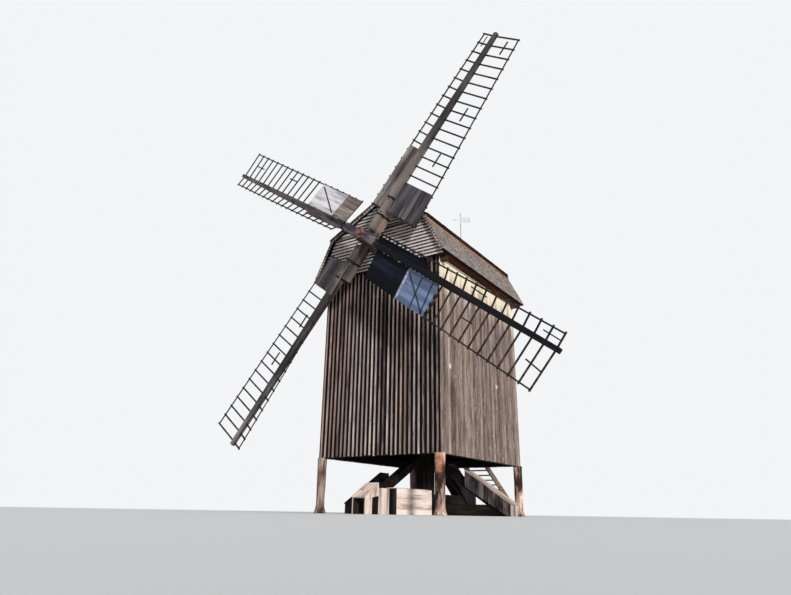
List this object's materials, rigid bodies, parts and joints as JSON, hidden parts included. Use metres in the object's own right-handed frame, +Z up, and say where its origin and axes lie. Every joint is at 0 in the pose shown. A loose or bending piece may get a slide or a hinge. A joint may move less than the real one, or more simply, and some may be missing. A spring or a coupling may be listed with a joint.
{
  "type": "wooden post mill",
  "caption": "Boarded wooden windmill body on a trestle and log props, shingled two-slope roof, lattice sails that turn on an inclined shaft, weather vane on the ridge",
  "frame": {"origin": "on the ground under the main post, in the bottom face of the lower crosstree", "axes": "+Z up, -Y toward the sails, +X to the body's right side as seen from the sails"},
  "size_m": [16.791, 14.2461, 19.0619],
  "materials": {
    "trestle_timber": "weathered, rough",
    "casing_boards": "weathered, rough",
    "log": "weathered, bark left off",
    "body_timber": "sawn, weathered",
    "floor_boards": "sawn",
    "front_boards": "weathered, matt",
    "front_battens": "weathered, matt",
    "side_boards": "weathered, matt",
    "rear_boards": "weathered, matt",
    "door_boards": "weathered, matt",
    "stair_timber": "weathered, worn",
    "shingles": "weathered to silver grey, matt",
    "gable_shingles": "weathered to silver grey, matt",
    "ridge_boards": "weathered, matt",
    "soffit_boards": "dark red-brown, matt",
    "ledge_board": "weathered, matt",
    "bearing_wood": "greased hardwood",
    "vane_iron": "weathered, matt",
    "shaft_timber": "hewn, dark",
    "stock_timber": "weathered, dark",
    "cheek_timber": "weathered, sun-bleached",
    "rusty_iron": "rusty",
    "lattice_wood": "weathered, matt",
    "sail_boards": "weathered, matt",
    "shutter_boards": "weathered, sun-bleached",
    "leading_boards": "weathered, matt",
    "band_iron": "blackened, rusty"
  },
  "bodies": {
    "root": {"crosstree_lower": "trestle_timber", "crosstree_upper": "trestle_timber", "piers": "trestle_timber", "main_post": "trestle_timber", "crown_tree": "trestle_timber", "quarterbars": "trestle_timber", "casings": "casing_boards", "casing_front_box": "casing_boards", "casing_front": "casing_boards", "props": "log", "sills": "body_timber", "joists": "body_timber", "floor": "floor_boards", "front_wall": "front_boards", "front_battens": "front_battens", "side_walls": "side_boards", "rear_wall": "rear_boards", "rear_door": "door_boards", "stair_stringers": "stair_timber", "stair_treads": "stair_timber", "roof_lower": "shingles", "roof_upper_left": "shingles", "roof_upper_right": "shingles", "ridge_cap": "ridge_boards", "front_gable": "gable_shingles", "rear_gable": "gable_shingles", "soffit": "soffit_boards", "eave_brackets": "body_timber", "gable_ledge": "ledge_board", "shaft_beams": "body_timber", "shaft_bearings": "bearing_wood", "vane_rod": "vane_iron"},
    "rotor": {"windshaft": "shaft_timber", "stock_front": "stock_timber", "stock_rear": "stock_timber", "stock_cheek": "cheek_timber", "nose": "rusty_iron", "whips": "stock_timber", "lattice_right": "lattice_wood", "lattice_left": "lattice_wood", "lattice_top": "lattice_wood", "lattice_bottom": "lattice_wood", "sail_boards": "sail_boards", "sail_shutters": "shutter_boards", "leading_boards": "leading_boards", "sail_bands": "band_iron"},
    "vane": {"vane_flag": "vane_iron"}
  },
  "joints": [
    {"name": "rotor_turn", "type": "hinge", "parent": "root", "child": "rotor", "pos_m": [0, -4.7, 10.69], "axis": [0, -0.9962, 0.0872], "continuous": true},
    {"name": "vane_turn", "type": "hinge", "parent": "root", "child": "vane", "pos_m": [0, 3.78, 15.1653], "axis": [0, 0, 1], "continuous": true}
  ]
}
